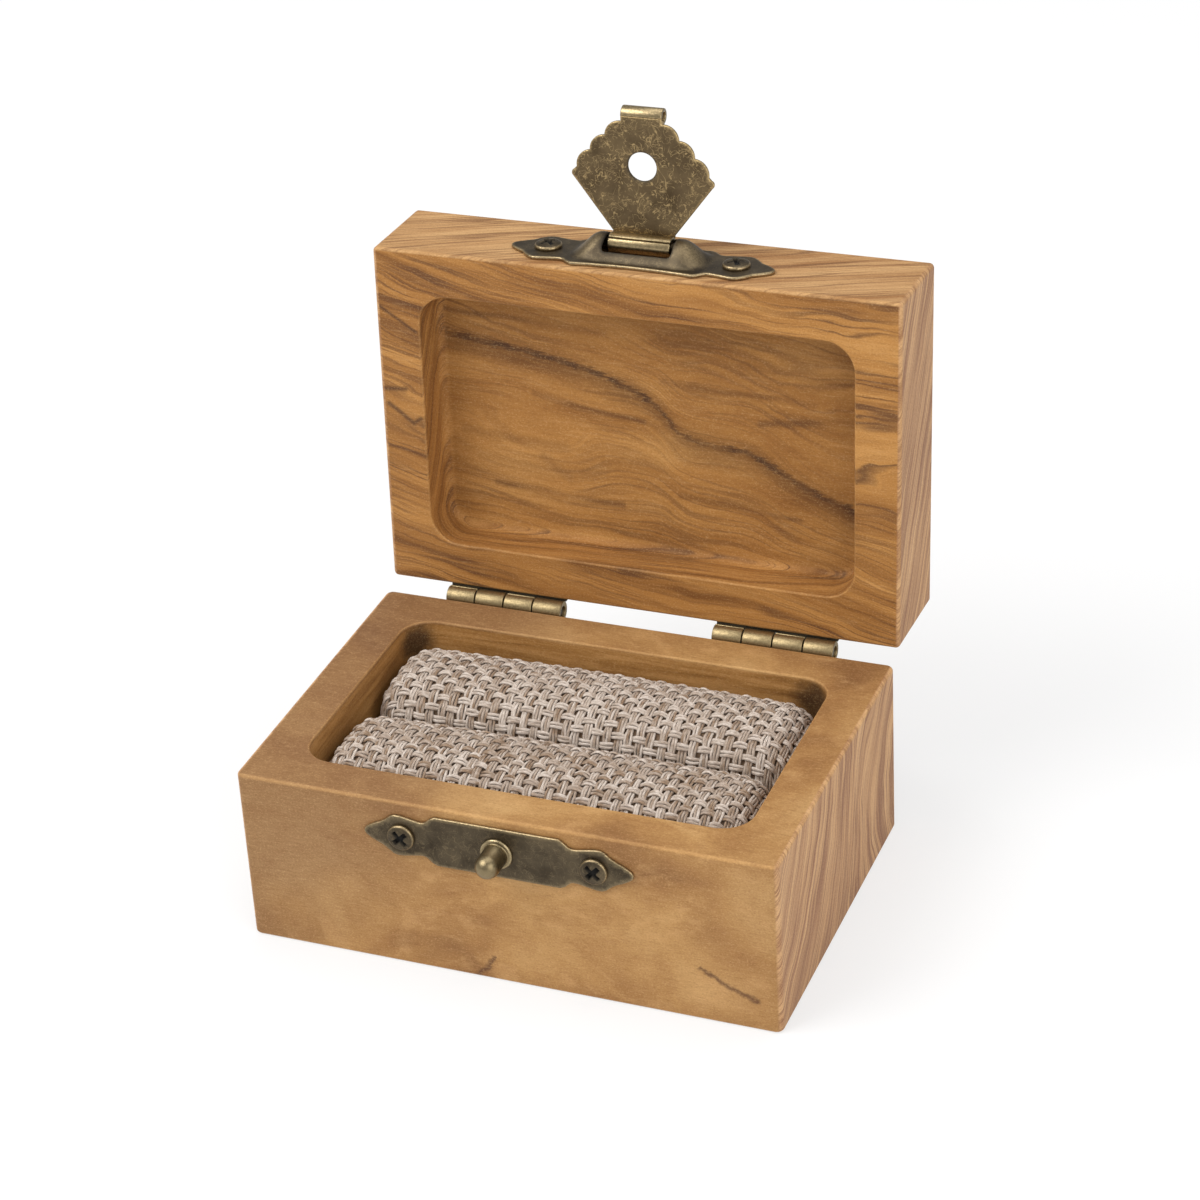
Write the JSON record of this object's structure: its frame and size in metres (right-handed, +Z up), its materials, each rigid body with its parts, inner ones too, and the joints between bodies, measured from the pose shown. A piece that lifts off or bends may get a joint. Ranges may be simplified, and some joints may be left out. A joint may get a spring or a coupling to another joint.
{
  "type": "ring display box",
  "caption": "Small wooden ring box, open, with woven padded rolls inside, two butt hinges and a clasp whose scalloped tongue drops over a knob",
  "frame": {"origin": "the middle of the base's underside, in the plane the box stands on", "axes": "+Z up out of the underside, +X to the right seen from the clasp's side, +Y to the back, where the hinges are"},
  "size_m": [0.07, 0.0703, 0.0911],
  "materials": {
    "wood": "smooth sanded, oiled",
    "hinge_brass": "antiqued, rubbed on the edges",
    "clasp_bronze": "antiqued, finely scratched",
    "roll_cover": "coarse plain weave",
    "roll_padding": "soft padding"
  },
  "bodies": {
    "base": {"base_box": "wood", "left_hinge_base_leaf": "hinge_brass", "left_hinge_pin": "hinge_brass", "right_hinge_base_leaf": "hinge_brass", "right_hinge_pin": "hinge_brass", "base_hinge_screws": "hinge_brass", "catch_plate": "clasp_bronze", "catch_knob": "clasp_bronze", "catch_screws": "clasp_bronze", "front_roll_cover": "roll_cover", "front_roll_core": "roll_padding", "rear_roll_cover": "roll_cover", "rear_roll_core": "roll_padding"},
    "lid": {"lid": "wood", "left_hinge_lid_leaf": "hinge_brass", "right_hinge_lid_leaf": "hinge_brass", "lid_hinge_screws": "hinge_brass", "hasp_plate": "clasp_bronze", "hasp_screws": "clasp_bronze", "tongue_pin": "clasp_bronze"},
    "tongue": {"hasp_tongue": "clasp_bronze"}
  },
  "joints": [
    {"name": "lid_hinge", "type": "hinge", "parent": "base", "child": "lid", "pos_m": [0, 0.025, 0.02365], "axis": [1, 0, 0], "range_deg": [-87, 93]},
    {"name": "tongue_hinge", "type": "hinge", "parent": "lid", "child": "tongue", "pos_m": [-0.0002, 0.03329, 0.07379], "axis": [1, 0, 0], "range_deg": [0, 90]}
  ]
}
